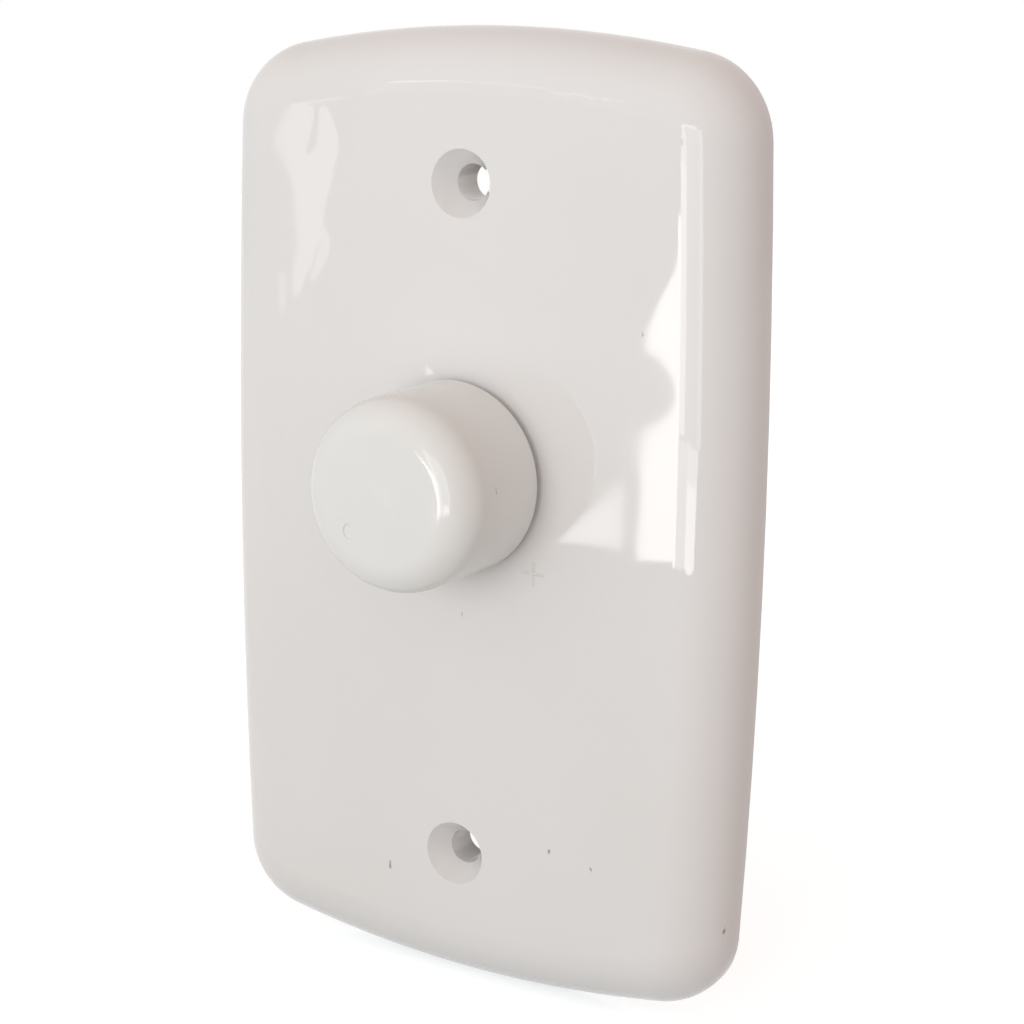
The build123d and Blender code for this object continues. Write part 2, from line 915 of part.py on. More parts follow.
def heat_sink():
    """An L-shaped aluminium plate: the triac lies on its base, and its fin stands at the left."""
    centre_x = -sink_left + sink_width / 2
    fin_x = -sink_left + sink_thickness / 2
    base = block((centre_x, sink_centre_z), sink_width, sink_length, sink_back, sink_front)
    fin_back = sink_back + sink_fin_height
    sink = base + block((fin_x, sink_centre_z), sink_thickness, sink_length, fin_back, sink_front)
    sink = fillet(upright_edge(sink, -sink_left + sink_thickness, sink_back), sink_bend_radius)
    sink = chamfer(upright_edge(sink, -sink_left, sink_front), sink_bend_radius / 2)
    for z in sink_foot_places:
        place = (fin_x + sink_thickness / 2, z)
        sink += block(place, sink_thickness, sink_foot_width, sink_front, board_back)
    hole = sink_screw_radius + sink_hole_clearance
    return sink - rod((triac_x, tab_hole_z()), hole, sink_back, sink_front)


def tab_hole_z():
    return triac_top_z - leg_thickness - tab_length + tab_hole_to_end


def triac_tab():
    z = triac_top_z - leg_thickness - tab_length / 2
    tab = block((triac_x, z), triac_width, tab_length, sink_back + tab_thickness, sink_back)
    ends = tab.edges().filter_by(Axis.Y).sort_by(Axis.Z)[:2]
    tab = chamfer(ends, triac_bevel)
    hole = rod((triac_x, tab_hole_z()), tab_hole_radius, sink_back + tab_thickness, sink_back)
    return tab - hole


def triac_body():
    z = triac_top_z - triac_body_length / 2
    body = block((triac_x, z), triac_width, triac_body_length, sink_back + triac_height, sink_back)
    body = chamfer(back_edges(body), triac_bevel)
    tab_z = triac_top_z - leg_thickness - tab_length / 2
    return body - block((triac_x, tab_z), triac_width, tab_length, sink_back + tab_thickness, sink_back)


def triac_legs():
    legs = []
    centre = sink_back + leg_height
    for x in leg_places:
        reach = block(
            (x, triac_top_z + leg_reach / 2 + leg_thickness / 4),
            leg_width,
            leg_reach + leg_thickness / 2,
            centre + leg_thickness / 2,
            centre - leg_thickness / 2,
        )
        drop = block((x, leg_drop_z()), leg_width, leg_thickness, centre, board_front - lead_stub)
        legs.append(reach + drop)
    return legs


def heat_sink_screw():
    seat = sink_back + tab_thickness
    length = seat - board_back - sink_screw_end
    return pan_screw(
        (triac_x, tab_hole_z()),
        seat,
        length,
        sink_screw_radius,
        sink_screw_head_radius,
        sink_screw_head_height,
        0,
        2 * sink_screw_head_radius,
    )


def heat_sink_nut():
    place = Pos(triac_x, tab_hole_z())
    outline = place * (hexagon(sink_nut_across_flats) - Circle(sink_screw_radius + nut_thread_clearance))
    return prism(outline, sink_front, sink_front - sink_nut_thickness)


# Choke


def choke_core_front():
    return board_back + winding_lift + winding_wire + winding_clearance


def choke_core():
    front = choke_core_front()
    core = tube((0, choke_z), core_outer_radius, core_inner_radius, front + core_height, front)
    return chamfer(core.edges().filter_by(GeomType.CIRCLE), core_edge)


def choke_winding():
    """Flat loops of wire round the ring's section, evenly spaced but for a gap at the bottom."""
    front = choke_core_front() - winding_clearance - winding_wire
    height = core_height + 2 * (winding_clearance + winding_wire)
    inner = core_inner_radius - winding_clearance - winding_wire
    width = core_outer_radius + winding_clearance + winding_wire - inner
    middle_y = front + height / 2
    section = Rectangle(width, height) - Rectangle(width - 2 * winding_wire, height - 2 * winding_wire)
    loop = extrude(Plane.XY * section, amount=winding_wire / 2, both=True)
    loop = fillet(loop.edges().filter_by(Axis.Z), winding_wire / 4)
    loop = Pos(inner + width / 2, 0, 0) * loop
    turns = []
    spread = 360 - winding_gap_angle
    for step in range(winding_turns):
        angle = 90 + winding_gap_angle / 2 + spread * (step + 0.5) / winding_turns
        turns.append(Pos(0, middle_y, choke_z) * Rot(0, angle, 0) * loop)
    return turns


def choke_lead_places():
    """Where the winding's two ends go down into the board, below the ring."""
    drop = core_outer_radius + winding_clearance + winding_wire + winding_lead_radius
    return [(side * core_inner_radius / 2, choke_z - drop) for side in (-1, 1)]


def choke_leads():
    top = choke_core_front() + core_height / 2
    leads = []
    for x, z in choke_lead_places():
        leads.append(rod((x, z), winding_lead_radius, top, board_front - lead_stub))
    return leads


# Small components


def box_component(size, place):
    width, length, height = size
    front = board_back + box_lift
    body = block(place, width, length, front + height, front)
    return fillet(body.edges().filter_by(Axis.Y) + back_edges(body), box_edge)


def box_leads(place, pitch):
    x, z = place
    places = [(x, z + side * pitch / 2) for side in (-1, 1)]
    lead_end = board_front - lead_stub
    return [rod(place, axial_lead_radius, board_back + box_lift, lead_end) for place in places]


def along_z(radius, length, place, height, centre=0.0):
    """A cylinder that lies along Z at a height above the board."""
    x, z = place
    return Pos(x, board_back + height, z + centre) * Cylinder(radius, length)


def resistor(place):
    height = resistor_radius + axial_lift
    body = along_z(resistor_waist_radius, resistor_length, place, height)
    end = (resistor_length - resistor_end_length) / 2
    for side in (-1, 1):
        cap = along_z(resistor_radius, resistor_end_length, place, height, side * end)
        body += fillet(cap.edges().filter_by(GeomType.CIRCLE), resistor_radius / 4)
    return body


def axial_leads(place, length, height, span):
    """The two bent wires of a component that lies along Z."""
    x, z = place
    leads = []
    for side in (-1, 1):
        path = FilletPolyline(
            (x, board_back + height, z + side * length / 2),
            (x, board_back + height, z + side * span / 2),
            (x, board_front - lead_stub, z + side * span / 2),
            radius=axial_bend_radius,
        )
        leads.append(sweep(Plane(path @ 0, z_dir=path % 0) * Circle(axial_lead_radius), path=path))
    return leads


def resistors():
    return [resistor(place) for place in resistor_places]


def resistor_leads():
    height = resistor_radius + axial_lift
    return [
        lead
        for place in resistor_places
        for lead in axial_leads(place, resistor_length, height, axial_span)
    ]


def diac():
    body = along_z(diac_radius, diac_length, diac_place, diac_radius + axial_lift)
    return fillet(body.edges().filter_by(GeomType.CIRCLE), diac_radius / 2)


def fuse_body():
    return along_z(fuse_radius, fuse_length, fuse_place, fuse_cap_radius + axial_lift)


def fuse_caps():
    """Pressed metal caps over both ends of the tube."""
    height = fuse_cap_radius + axial_lift
    wall = fuse_cap_radius - fuse_radius
    caps = []
    for side in (-1, 1):
        centre = side * (fuse_length / 2 + wall - fuse_cap_length / 2)
        cap = along_z(fuse_cap_radius, fuse_cap_length, fuse_place, height, centre)
        caps.append(cap - fuse_body())
    return caps


def group(solids):
    return Compound(children=[solid for shape in solids for solid in shape.solids()])


diac_height = diac_radius + axial_lift
fuse_height = fuse_cap_radius + axial_lift
fuse_capped_length = fuse_length + 2 * (fuse_cap_radius - fuse_radius)

nodes = {
    "front_plate": front_plate(),
    "rear_cover": rear_cover(),
    "cover_screws": group(cover_screws()),
    "control_knob": control_knob(),
    "knob_grip_ring": knob_grip_ring(),
    "pot_shaft": pot_shaft(),
    "shaft_clip": shaft_clip(),
    "pot_bushing": pot_bushing(),
    "pot_washer": pot_washer(),
    "pot_nut": pot_nut(),
    "pot_wafer": pot_wafer(),
    "resistive_track": resistive_track(),
    "collector_ring": collector_ring(),
    "pot_rotor": pot_rotor(),
    "pot_wiper": pot_wiper(),
    "pot_can": pot_can(),
    "pot_lugs": group(pot_lugs()),
    "circuit_board": circuit_board(),
    "terminal_block": terminal_block(),
    "terminal_cages": group(terminal_cages()),
    "terminal_screws": group(terminal_screws()),
    "heat_sink": heat_sink(),
    "triac_tab": triac_tab(),
    "triac_body": triac_body(),
    "triac_legs": group(triac_legs()),
    "heat_sink_screw": heat_sink_screw(),
    "heat_sink_nut": heat_sink_nut(),
    "choke_core": choke_core(),
    "choke_winding": group(choke_winding()),
    "choke_leads": group(choke_leads()),
    "suppressor_capacitor": box_component(suppressor_size, suppressor_place),
    "suppressor_leads": group(box_leads(suppressor_place, suppressor_lead_pitch)),
    "timing_capacitor": box_component(timing_size, timing_place),
    "timing_leads": group(box_leads(timing_place, timing_lead_pitch)),
    "resistors": group(resistors()),
    "resistor_leads": group(resistor_leads()),
    "diac": diac(),
    "diac_leads": group(axial_leads(diac_place, diac_length, diac_height, axial_span)),
    "fuse_body": fuse_body(),
    "fuse_caps": group(fuse_caps()),
    "fuse_leads": group(axial_leads(fuse_place, fuse_capped_length, fuse_height, fuse_span)),
}

os.makedirs("parts", exist_ok=True)
for name, shape in nodes.items():
    export_step(shape, f"parts/{name}.step")
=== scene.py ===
import json
from math import copysign, cos, pi, radians, sin, tan

import bmesh
import bpy
from mathutils import Matrix, Vector
from mathutils.geometry import interpolate_bezier

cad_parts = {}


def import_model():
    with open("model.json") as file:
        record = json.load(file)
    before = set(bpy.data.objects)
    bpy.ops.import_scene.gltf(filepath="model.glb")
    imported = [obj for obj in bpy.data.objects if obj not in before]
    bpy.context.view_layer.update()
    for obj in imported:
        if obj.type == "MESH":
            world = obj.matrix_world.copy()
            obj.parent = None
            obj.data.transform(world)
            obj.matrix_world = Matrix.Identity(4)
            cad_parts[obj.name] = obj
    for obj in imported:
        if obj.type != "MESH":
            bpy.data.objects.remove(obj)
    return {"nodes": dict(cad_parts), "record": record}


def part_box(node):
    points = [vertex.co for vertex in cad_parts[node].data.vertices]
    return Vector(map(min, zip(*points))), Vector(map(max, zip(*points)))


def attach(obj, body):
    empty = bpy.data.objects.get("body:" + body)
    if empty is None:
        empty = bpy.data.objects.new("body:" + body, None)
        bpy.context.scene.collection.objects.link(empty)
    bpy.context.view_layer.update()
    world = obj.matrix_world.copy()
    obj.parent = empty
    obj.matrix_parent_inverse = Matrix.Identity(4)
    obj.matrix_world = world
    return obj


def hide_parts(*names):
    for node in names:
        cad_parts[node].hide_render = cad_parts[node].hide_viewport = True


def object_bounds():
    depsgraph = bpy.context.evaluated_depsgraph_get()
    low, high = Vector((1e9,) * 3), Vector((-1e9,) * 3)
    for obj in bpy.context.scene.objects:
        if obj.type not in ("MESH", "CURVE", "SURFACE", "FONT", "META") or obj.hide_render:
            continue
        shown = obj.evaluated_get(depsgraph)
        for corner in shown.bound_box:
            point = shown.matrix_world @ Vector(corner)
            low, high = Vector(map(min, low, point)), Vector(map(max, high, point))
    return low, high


# Looks of a rotary dimmer switch on a moulded wall plate. Everything is in metres, in the part's
# own frame: X points right, Z up, the front faces -Y, and the wall's surface is y = 0.

MM = 0.001

# Camera, at the photograph's viewing angle
CAMERA_AZIMUTH = 30.39
CAMERA_ELEVATION = 13.42
CAMERA_ROLL = 0.89
CAMERA_DISTANCE = 254.5 * MM
CAMERA_AIM = Vector((5.7, -5.0, 2.5)) * MM
CAMERA_LENS = 74.0

# Lamps stand this far off. Each is at an angle to the left of straight ahead, and above level.
LAMP_DISTANCE = 3.0
LAMP_AIM = Vector((0.0, -8.0, 0.0)) * MM

# Soft light of the room: an even part, and how much it grows along +X, +Y and +Z
ROOM_LIGHT = (0.502, 0.485, 0.482)
ROOM_RIGHT = (-0.04, -0.10, -0.115)
ROOM_BACK = (-0.39, -0.43, -0.435)
ROOM_UP = (0.06, -0.045, -0.09)

# The bright shapes that the glossy plate mirrors are all in one plane, this far ahead of the wall, and
# each round stretch of their outlines has this many steps
WINDOW_DISTANCE = 2.7
CURVE_STEPS = 6

# Floor: it ends before the window's lower edge, which the glossy plate mirrors. Its glow lifts it to
# white where it is seen.
FLOOR_FRONT = -0.19
FLOOR_BACK = 0.9
FLOOR_HALF_WIDTH = 0.9
FLOOR_COLOUR = (0.62, 0.66, 0.67)
FLOOR_GLOW = 0.68

# White mouldings: each colour, and its roughness from its most to its least polished place
PLATE_WHITE = (0.802, 0.790, 0.780)
KNOB_WHITE = (0.826, 0.828, 0.812)
# The signs' filling is a little darker than the plate: painted shade in place of the shade of the
# engraved grooves
MARK_PAINTED_SHADE = (0.754, 0.743, 0.733)
PLATE_GLOSS = (0.015, 0.045)
KNOB_GLOSS = (0.09, 0.15)
YELLOWING = (0.985, 0.980, 0.973)
DUST_COLOUR = (0.62, 0.60, 0.57)
SPECK_COLOUR = (0.16, 0.14, 0.12)

# Small marks of use on the white plastic, in millimetres: each place, and its radius
PLATE_SPECKS = (
    ((-9.7, -8.3, -45.7), 0.30),
    ((13.6, -8.3, -38.4), 0.20),
    ((13.1, -8.3, -40.2), 0.17),
    ((19.5, -8.3, -39.4), 0.24),
    ((0.8, -8.3, -10.35), 0.18),
    ((24.3, -8.3, 26.2), 0.15),
    ((35.2, -3.45, -45.6), 0.30),
    ((35.1, -3.7, -46.8), 0.22),
)
KNOB_SPECKS = (((11.55, -18.6, 8.3), 0.17),)

# Plus and minus signs: how far they are from the knob's axis, and their lines, all in millimetres
MARK_OFFSET = 15.2
MARK_LENGTH = 3.0
MARK_LINE = 0.38

# Choke: the core's hole across, as a share of its outside, and the wire's radius and turns
CORE_HOLE = 8.6 / 16.4
CHOKE_WIRE = 0.4 * MM
CHOKE_TURNS = 25

# Solder joint: radius and height of each ring of its side, from the board up, in millimetres
SOLDER_SIDE = ((1.15, 0.0), (1.05, 0.08), (0.72, 0.28), (0.50, 0.55), (0.42, 0.85), (0.0, 0.98))

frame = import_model()
cad_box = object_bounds()
nodes = frame["nodes"]
knob_axis = Vector(frame["record"]["behaviour"]["joints"][0]["pos_m"])


def direction(to_left, above):
    """The unit vector towards a point to the left of straight ahead of the switch, and above level."""
    a, e = radians(to_left), radians(above)
    return Vector((-sin(a) * cos(e), -cos(a) * cos(e), sin(e)))


# Material nodes

# The colour sockets of a Mix node, which have no names of their own
MIX_FIRST, MIX_SECOND, MIX_RESULT = 6, 7, 2


class ShaderTree:
    """The nodes of a material or of the world, with short calls that add and join them."""

    def __init__(self, owner):
        owner.use_nodes = True
        self.tree = owner.node_tree
        self.tree.nodes.clear()

    def add(self, kind, **settings):
        node = self.tree.nodes.new(kind)
        for name, value in settings.items():
            setattr(node, name, value)
        return node

    def feed(self, socket, value):
        if isinstance(value, bpy.types.NodeSocket):
            self.tree.links.new(value, socket)
        elif isinstance(value, tuple) and len(value) == 3 and socket.type == "RGBA":
            socket.default_value = (*value, 1.0)
        else:
            socket.default_value = value

    def result(self, shader, kind="ShaderNodeOutputMaterial"):
        """Makes this shader the one that counts."""
        self.feed(self.add(kind).inputs["Surface"], shader.outputs[0])

    def math(self, operation, *values):
        node = self.add("ShaderNodeMath", operation=operation)
        for socket, value in zip(node.inputs, values):
            self.feed(socket, value)
        return node.outputs[0]

    def blend(self, factor, first, second):
        node = self.add("ShaderNodeMix", data_type="RGBA")
        self.feed(node.inputs["Factor"], factor)
        self.feed(node.inputs[MIX_FIRST], first)
        self.feed(node.inputs[MIX_SECOND], second)
        return node.outputs[MIX_RESULT]


class Surface(ShaderTree):
    """A material round one main shader, with short calls for the patterns that feed it."""

    def __init__(self, name, **constants):
        self.material = bpy.data.materials.new(name)
        super().__init__(self.material)
        self.shader = self.add("ShaderNodeBsdfPrincipled")
        self.result(self.shader)
        self.place = self.add("ShaderNodeTexCoord").outputs["Object"]
        for socket, value in constants.items():
            self.set(socket.replace("_", " "), value)

    def noise(self, scale, detail=2.0, place=None):
        node = self.add("ShaderNodeTexNoise")
        self.feed(node.inputs["Vector"], place or self.place)
        node.inputs["Scale"].default_value = scale
        node.inputs["Detail"].default_value = detail
        return node.outputs["Fac"]

    def stretched(self, x, y, z):
        """The place, scaled differently along each axis."""
        node = self.add("ShaderNodeMapping")
        self.feed(node.inputs["Vector"], self.place)
        node.inputs["Scale"].default_value = (x, y, z)
        return node.outputs["Vector"]

    def part(self, axis, place=None):
        node = self.add("ShaderNodeSeparateXYZ")
        self.feed(node.inputs[0], place or self.place)
        return node.outputs[axis]

    def between(self, value, low, high, start=0.35, end=0.65):
        """value's stretch from start to end, spread over low to high."""
        node = self.add("ShaderNodeMapRange", interpolation_type="SMOOTHSTEP")
        for socket, number in zip(node.inputs, (value, start, end, low, high)):
            self.feed(socket, number)
        return node.outputs["Result"]

    def distance_to(self, point, scale):
        """How far off a point is, with each axis scaled first."""
        node = self.add("ShaderNodeVectorMath", operation="DISTANCE")
        self.feed(node.inputs[0], self.stretched(*scale))
        node.inputs[1].default_value = [part * factor for part, factor in zip(point, scale)]
        return node.outputs["Value"]

    def set(self, socket, value):
        self.feed(self.shader.inputs[socket], value)

    def bump(self, *layers):
        """Adds up bumps, each given as its height field and its depth in metres."""
        normal = None
        for height, depth in layers:
            node = self.add("ShaderNodeBump")
            node.inputs["Distance"].default_value = depth
            self.feed(node.inputs["Height"], height)
            if normal is not None:
                self.feed(node.inputs["Normal"], normal)
            normal = node.outputs["Normal"]
        self.set("Normal", normal)


def shade(colour, factor):
    return tuple(channel * factor for channel in colour)


# Materials


def white_plastic(name, white, gloss, specks=()):
    """Glossy white moulding: faint yellowing, a polished but slightly wavy skin, and a few specks."""
    s = Surface(name, IOR=1.48)
    patches = s.between(s.noise(28, 3), 0.0, 1.0)
    yellowed = tuple(channel * share for channel, share in zip(white, YELLOWING))
    colour = s.blend(patches, white, yellowed)
    dust = s.between(s.noise(2600, 2), 0.0, 0.18, 0.68, 0.80)
    colour = s.blend(dust, colour, DUST_COLOUR)
    # Each speck is a ragged upright oval, darkest in its middle
    for place, radius in specks:
        wobble = s.math("MULTIPLY", s.noise(1700, 2), 0.9 * MM)
        away = s.math("ADD", s.distance_to(Vector(place) * MM, (1.3, 1.0, 0.5)), wobble)
        mark = s.between(away, 0.7, 0.0, (radius * 0.4 + 0.34) * MM, (radius + 0.48) * MM)
        colour = s.blend(mark, colour, SPECK_COLOUR)
    s.set("Base Color", colour)
    smears = s.between(s.noise(60, 4, s.stretched(1, 1, 0.35)), *gloss, 0.45, 0.75)
    s.set("Roughness", smears)
    s.bump((s.noise(55, 1), 0.05 * MM), (s.noise(1500, 2), 0.0002 * MM))
    return s.material


def moulding(name, colour, roughness, grain=900.0, depth=0.02, contrast=0.12, **constants):
    """A moulded plastic or coated part: cloudy colour, uneven sheen and a fine spark-eroded grain."""
    s = Surface(name, **constants)
    clouds = s.between(s.noise(140, 3), 0.0, 1.0)
    s.set("Base Color", s.blend(clouds, shade(colour, 1 - contrast), shade(colour, 1 + contrast)))
    s.set("Roughness", s.between(s.noise(420, 2), roughness - 0.06, roughness + 0.06))
    s.bump((s.noise(grain * 3, 3), depth * MM), (s.noise(90, 1), 0.04 * MM))
    return s.material


def rolled_metal(name, colour, roughness, along=(1.0, 0.06, 1.0)):
    """Sheet, wire or cast metal: fine lines one way, tarnish in soft patches."""
    s = Surface(name, Metallic=1.0)
    lines = s.noise(5200, 2, s.stretched(*along))
    tarnish = s.between(s.noise(230, 4), 0.0, 1.0)
    tinted = s.blend(tarnish, colour, shade(colour, 0.72))
    s.set("Base Color", s.blend(s.between(lines, 0.0, 0.35), tinted, shade(colour, 0.88)))
    s.set("Roughness", s.between(lines, roughness - 0.05, roughness + 0.10))
    s.bump((lines, 0.006 * MM), (s.noise(700, 2), 0.01 * MM))
    return s.material


def turned_metal(name, colour, roughness):
    """Lathe-turned metal, with rings round the knob's axis."""
    s = Surface(name, Metallic=1.0)
    x = s.math("SUBTRACT", s.part("X"), knob_axis.x)
    z = s.math("SUBTRACT", s.part("Z"), knob_axis.z)
    radius = s.math("SQRT", s.math("ADD", s.math("MULTIPLY", x, x), s.math("MULTIPLY", z, z)))
    rings = s.math("SINE", s.math("MULTIPLY", s.math("ADD", radius, s.part("Y")), 2 * pi / (0.12 * MM)))
    rings = s.math("MULTIPLY_ADD", rings, 0.3, s.noise(900, 3))
    tarnish = s.between(s.noise(180, 3), 0.0, 1.0)
    s.set("Base Color", s.blend(tarnish, colour, shade(colour, 0.8)))
    s.set("Roughness", s.between(rings, roughness - 0.04, roughness + 0.08))
    s.bump((rings, 0.004 * MM))
    return s.material


def board_laminate(name):
    """Green resist on both faces, with darker tracks under it, and the laminate's cut edge."""
    s = Surface(name)
    facing = s.add("ShaderNodeNewGeometry").outputs["Normal"]
    face = s.between(s.math("ABSOLUTE", s.part("Y", facing)), 0.0, 1.0, 0.5, 0.7)
    tracks = s.add("ShaderNodeTexBrick", offset=0.35, squash=0.6, squash_frequency=3)
    turned = s.add("ShaderNodeMapping")
    turned.inputs["Rotation"].default_value = (radians(90), 0, 0)
    s.feed(turned.inputs["Vector"], s.place)
    s.feed(tracks.inputs["Vector"], turned.outputs["Vector"])
    for socket, value in (("Scale", 160.0), ("Mortar Size", 0.035), ("Mortar Smooth", 0.2)):
        tracks.inputs[socket].default_value = value
    gap = tracks.outputs["Fac"]
    resist = s.blend(gap, (0.012, 0.13, 0.045), (0.02, 0.20, 0.075))
    weave = s.between(s.noise(2400, 2, s.stretched(1, 4, 0.3)), 0.0, 1.0)
    edge = s.blend(weave, (0.50, 0.40, 0.20), (0.36, 0.27, 0.12))
    s.set("Base Color", s.blend(face, edge, resist))
    s.set("Roughness", s.between(face, 0.7, 0.32, 0.2, 0.8))
    s.bump((gap, -0.03 * MM), (s.noise(1500, 2), 0.006 * MM))
    return s.material


def resistor_lacquer(name):
    """Beige lacquer with four plain colour rings round each body."""
    s = Surface(name)
    low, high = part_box("resistors")
    centre = (low.z + high.z) / 2
    along = s.math("SUBTRACT", s.part("Z"), centre)
    colour = s.blend(s.between(s.noise(500, 2), 0, 1), (0.62, 0.46, 0.27), (0.55, 0.40, 0.22))
    rings = (
        (-2.3, (0.30, 0.02, 0.015)),
        (-0.9, (0.16, 0.02, 0.20)),
        (0.2, (0.75, 0.25, 0.02)),
        (2.3, (0.45, 0.30, 0.05)),
    )
    for z, ring in rings:
        away = s.math("ABSOLUTE", s.math("SUBTRACT", along, z * MM))
        colour = s.blend(s.between(away, 1.0, 0.0, 0.26 * MM, 0.32 * MM), colour, ring)
    s.set("Base Color", colour)
    s.set("Roughness", s.between(s.noise(600, 2), 0.28, 0.42))
    s.bump((s.noise(800, 2), 0.02 * MM))
    return s.material


def glass(name, colour):
    """Clear tube glass with a slightly uneven drawn surface."""
    s = Surface(name, IOR=1.5, Transmission_Weight=1.0)
    s.set("Base Color", s.blend(s.between(s.noise(300, 2), 0, 1), colour, shade(colour, 0.9)))
    s.set("Roughness", s.between(s.noise(400, 2), 0.01, 0.05))
    s.bump((s.noise(350, 1, s.stretched(1, 1, 0.2)), 0.02 * MM))
    return s.material


def enamelled_copper(name):
    """Copper wire under clear brown enamel."""
    s = Surface(name, Metallic=0.85, Coat_Weight=0.6, Coat_Roughness=0.08)
    s.set("Base Color", s.blend(s.between(s.noise(900, 2), 0, 1), (0.42, 0.13, 0.03), (0.60, 0.22, 0.07)))
    s.set("Roughness", s.between(s.noise(1200, 2), 0.22, 0.34))
    s.bump((s.noise(1600, 2), 0.01 * MM))
    return s.material


MATERIALS = {
    "white_plastic": lambda name: white_plastic(name, PLATE_WHITE, PLATE_GLOSS, PLATE_SPECKS),
    "knob_plastic": lambda name: white_plastic(name, KNOB_WHITE, KNOB_GLOSS, KNOB_SPECKS),
    "cover_plastic": lambda name: moulding(name, (0.030, 0.030, 0.033), 0.48, 800, 0.05),
    "terminal_plastic": lambda name: moulding(name, (0.035, 0.16, 0.07), 0.35, 1200, 0.015),
    "zinc_steel": lambda name: rolled_metal(name, (0.66, 0.66, 0.63), 0.26),
    "spring_steel": lambda name: rolled_metal(name, (0.20, 0.19, 0.18), 0.30),
    "shaft_metal": lambda name: turned_metal(name, (0.74, 0.74, 0.75), 0.24),
    "diecast_zinc": lambda name: turned_metal(name, (0.55, 0.55, 0.56), 0.38),
    "nickel_brass": lambda name: rolled_metal(name, (0.72, 0.68, 0.58), 0.22),
    "brown_laminate": lambda name: moulding(name, (0.16, 0.07, 0.025), 0.5, 700, 0.03, 0.25),
    "carbon_ink": lambda name: moulding(name, (0.018, 0.018, 0.018), 0.6, 2000, 0.01),
    "silver_ink": lambda name: rolled_metal(name, (0.72, 0.71, 0.68), 0.42),
    "black_moulding": lambda name: moulding(name, (0.016, 0.016, 0.018), 0.38, 1500, 0.02),
    "contact_bronze": lambda name: rolled_metal(name, (0.70, 0.44, 0.22), 0.24),
    "tinned_steel": lambda name: rolled_metal(name, (0.68, 0.68, 0.66), 0.30),
    "tinned_brass": lambda name: rolled_metal(name, (0.72, 0.70, 0.64), 0.30, (0.06, 1.0, 1.0)),
    "board_laminate": board_laminate,
    "aluminium": lambda name: rolled_metal(name, (0.80, 0.80, 0.81), 0.34, (1.0, 1.0, 0.04)),
    "tinned_copper": lambda name: rolled_metal(name, (0.74, 0.72, 0.67), 0.28, (1.0, 1.0, 0.05)),
    "ferrite": lambda name: moulding(name, (0.045, 0.047, 0.05), 0.55, 600, 0.06, 0.2),
    "copper_wire": enamelled_copper,
    "film_box": lambda name: moulding(name, (0.62, 0.36, 0.03), 0.25, 1500, 0.01, 0.08),
    "tinned_wire": lambda name: rolled_metal(name, (0.72, 0.72, 0.70), 0.26, (1.0, 0.1, 1.0)),
    "resistor_body": resistor_lacquer,
    "diode_glass": lambda name: glass(name, (0.85, 0.45, 0.25)),
    "fuse_glass": lambda name: glass(name, (0.96, 0.98, 0.98)),
}


def dress_nodes():
    """Gives every node the finish of its slot, and returns the materials by slot."""
    made = {slot: build(slot) for slot, build in MATERIALS.items()}
    for part in frame["record"]["subparts"]:
        node = nodes[part["node"]]
        node.data.materials.clear()
        node.data.materials.append(made[part["material_slot"]])
    return made


# Pieces


def add_piece(name, data, material):
    """A new piece on the base, with the given finish."""
    piece = bpy.data.objects.new(name, data)
    bpy.context.scene.collection.objects.link(piece)
    data.materials.append(material)
    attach(piece, "base")
    return piece


def add_mesh_piece(name, mesh, material):
    """The same, from a mesh under construction, which it uses up."""
    bmesh.ops.recalc_face_normals(mesh, faces=mesh.faces)
    data = bpy.data.meshes.new(name)
    mesh.to_mesh(data)
    mesh.free()
    add_piece(name, data, material)


def join_rings(mesh, rings, smooth):
    """Faces from each ring of corners to the next."""
    for lower, upper in zip(rings, rings[1:]):
        for step in range(len(lower)):
            after = (step + 1) % len(lower)
            face = mesh.faces.new((lower[step], lower[after], upper[after], upper[step]))
            face.smooth = smooth


def rounded(angle, half_width, half_height):
    """A point on a boxy oval, at this angle round it."""
    power = 0.45
    across = copysign(abs(cos(angle)) ** power, cos(angle))
    up = copysign(abs(sin(angle)) ** power, sin(angle))
    return half_width * across, half_height * up


def choke_path():
    """The points of the choke's wire, turn by turn round the ring core, with a gap at the bottom."""
    gap, steps = radians(34), 20
    low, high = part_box("choke_core")
    centre = (low + high) / 2
    outer = (high.x - low.x) / 2
    inner = outer * CORE_HOLE
    half_width = (outer - inner) / 2 + CHOKE_WIRE * 1.1
    half_height = (high.y - low.y) / 2 + CHOKE_WIRE * 1.1
    points = []
    for step in range(CHOKE_TURNS * steps + 1):
        share = step / (CHOKE_TURNS * steps)
        swing = pi + gap / 2 + (2 * pi - gap) * share
        across, depth = rounded(2 * pi * CHOKE_TURNS * share, half_width, half_height)
        radius = (outer + inner) / 2 + across
        points.append(centre + Vector((radius * sin(swing), depth, radius * cos(swing))))
    return points


def wind_choke(material):
    """One enamelled wire round the ring core, from lead to lead, in place of the plain loops."""
    points = choke_path()
    curve = bpy.data.curves.new("choke_wire", "CURVE")
    curve.dimensions = "3D"
    curve.bevel_depth = CHOKE_WIRE
    curve.bevel_resolution = 3
    spline = curve.splines.new("NURBS")
    spline.points.add(len(points) - 1)
    for corner, point in zip(spline.points, points):
        corner.co = (*point, 1.0)
    spline.order_u = 3
    spline.use_endpoint_u = True
    piece = add_piece("choke_wire", curve, material)
    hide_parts("choke_winding")


def lead_ends(node, board_front):
    """The centre of each lead of a node where it comes out of the board's front."""
    beyond, one_lead = 0.2 * MM, 1.3 * MM
    ends = []
    for vertex in nodes[node].data.vertices:
        if vertex.co.y > board_front - beyond:
            continue
        place = Vector((vertex.co.x, 0, vertex.co.z))
        for group in ends:
            if (group[0] - place).length < one_lead:
                group.append(place)
                break
        else:
            ends.append([place])
    return [sum(group, Vector()) / len(group) for group in ends]


